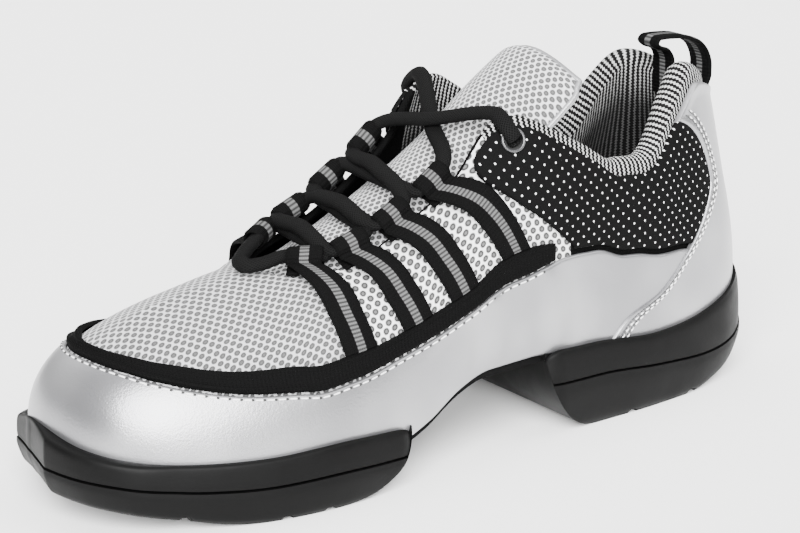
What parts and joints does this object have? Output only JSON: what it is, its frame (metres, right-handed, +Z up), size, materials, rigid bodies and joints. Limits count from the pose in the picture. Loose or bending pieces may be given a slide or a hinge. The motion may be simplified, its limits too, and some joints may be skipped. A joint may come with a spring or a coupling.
{
  "type": "dance sneaker",
  "caption": "Left split-sole dance sneaker: hollow padded upper with webbing lace straps, crossed lace, wide tongue, heel pull loop and two separate sole pads.",
  "frame": {"origin": "middle of the heel pad's tread, on the floor", "axes": "+Z up, the toe points along -X, the outer side faces -Y"},
  "size_m": [0.2732, 0.0978, 0.1257],
  "materials": {
    "upper": "matte",
    "arch_board": "matte",
    "insole": "matte",
    "forefoot_sole": "satin",
    "heel_sole": "satin",
    "mudguard": "satin metallic",
    "binding": "matte",
    "heel_counter": "satin metallic",
    "tongue": "matte",
    "pull_loop": "matte",
    "quarter_outer": "matte",
    "quarter_inner": "matte",
    "eyelet_outer": "satin",
    "eyelet_inner": "satin",
    "strap_outer_1": "matte",
    "strap_outer_2": "matte",
    "strap_outer_3": "matte",
    "strap_outer_4": "matte",
    "strap_inner_1": "matte",
    "strap_inner_2": "matte",
    "strap_inner_3": "matte",
    "strap_inner_4": "matte",
    "lace_bar": "matte",
    "lace_row_1": "matte",
    "lace_row_2": "matte",
    "lace_row_3": "matte",
    "lace_top": "matte"
  },
  "bodies": {
    "root": {"upper": "upper", "arch_board": "arch_board", "insole": "insole", "forefoot_sole": "forefoot_sole", "heel_sole": "heel_sole", "mudguard": "mudguard", "binding": "binding", "heel_counter": "heel_counter", "tongue": "tongue", "pull_loop": "pull_loop", "quarter_outer": "quarter_outer", "quarter_inner": "quarter_inner", "eyelet_outer": "eyelet_outer", "eyelet_inner": "eyelet_inner", "strap_outer_1": "strap_outer_1", "strap_outer_2": "strap_outer_2", "strap_outer_3": "strap_outer_3", "strap_outer_4": "strap_outer_4", "strap_inner_1": "strap_inner_1", "strap_inner_2": "strap_inner_2", "strap_inner_3": "strap_inner_3", "strap_inner_4": "strap_inner_4", "lace_bar": "lace_bar", "lace_row_1": "lace_row_1", "lace_row_2": "lace_row_2", "lace_row_3": "lace_row_3", "lace_top": "lace_top"}
  },
  "joints": []
}
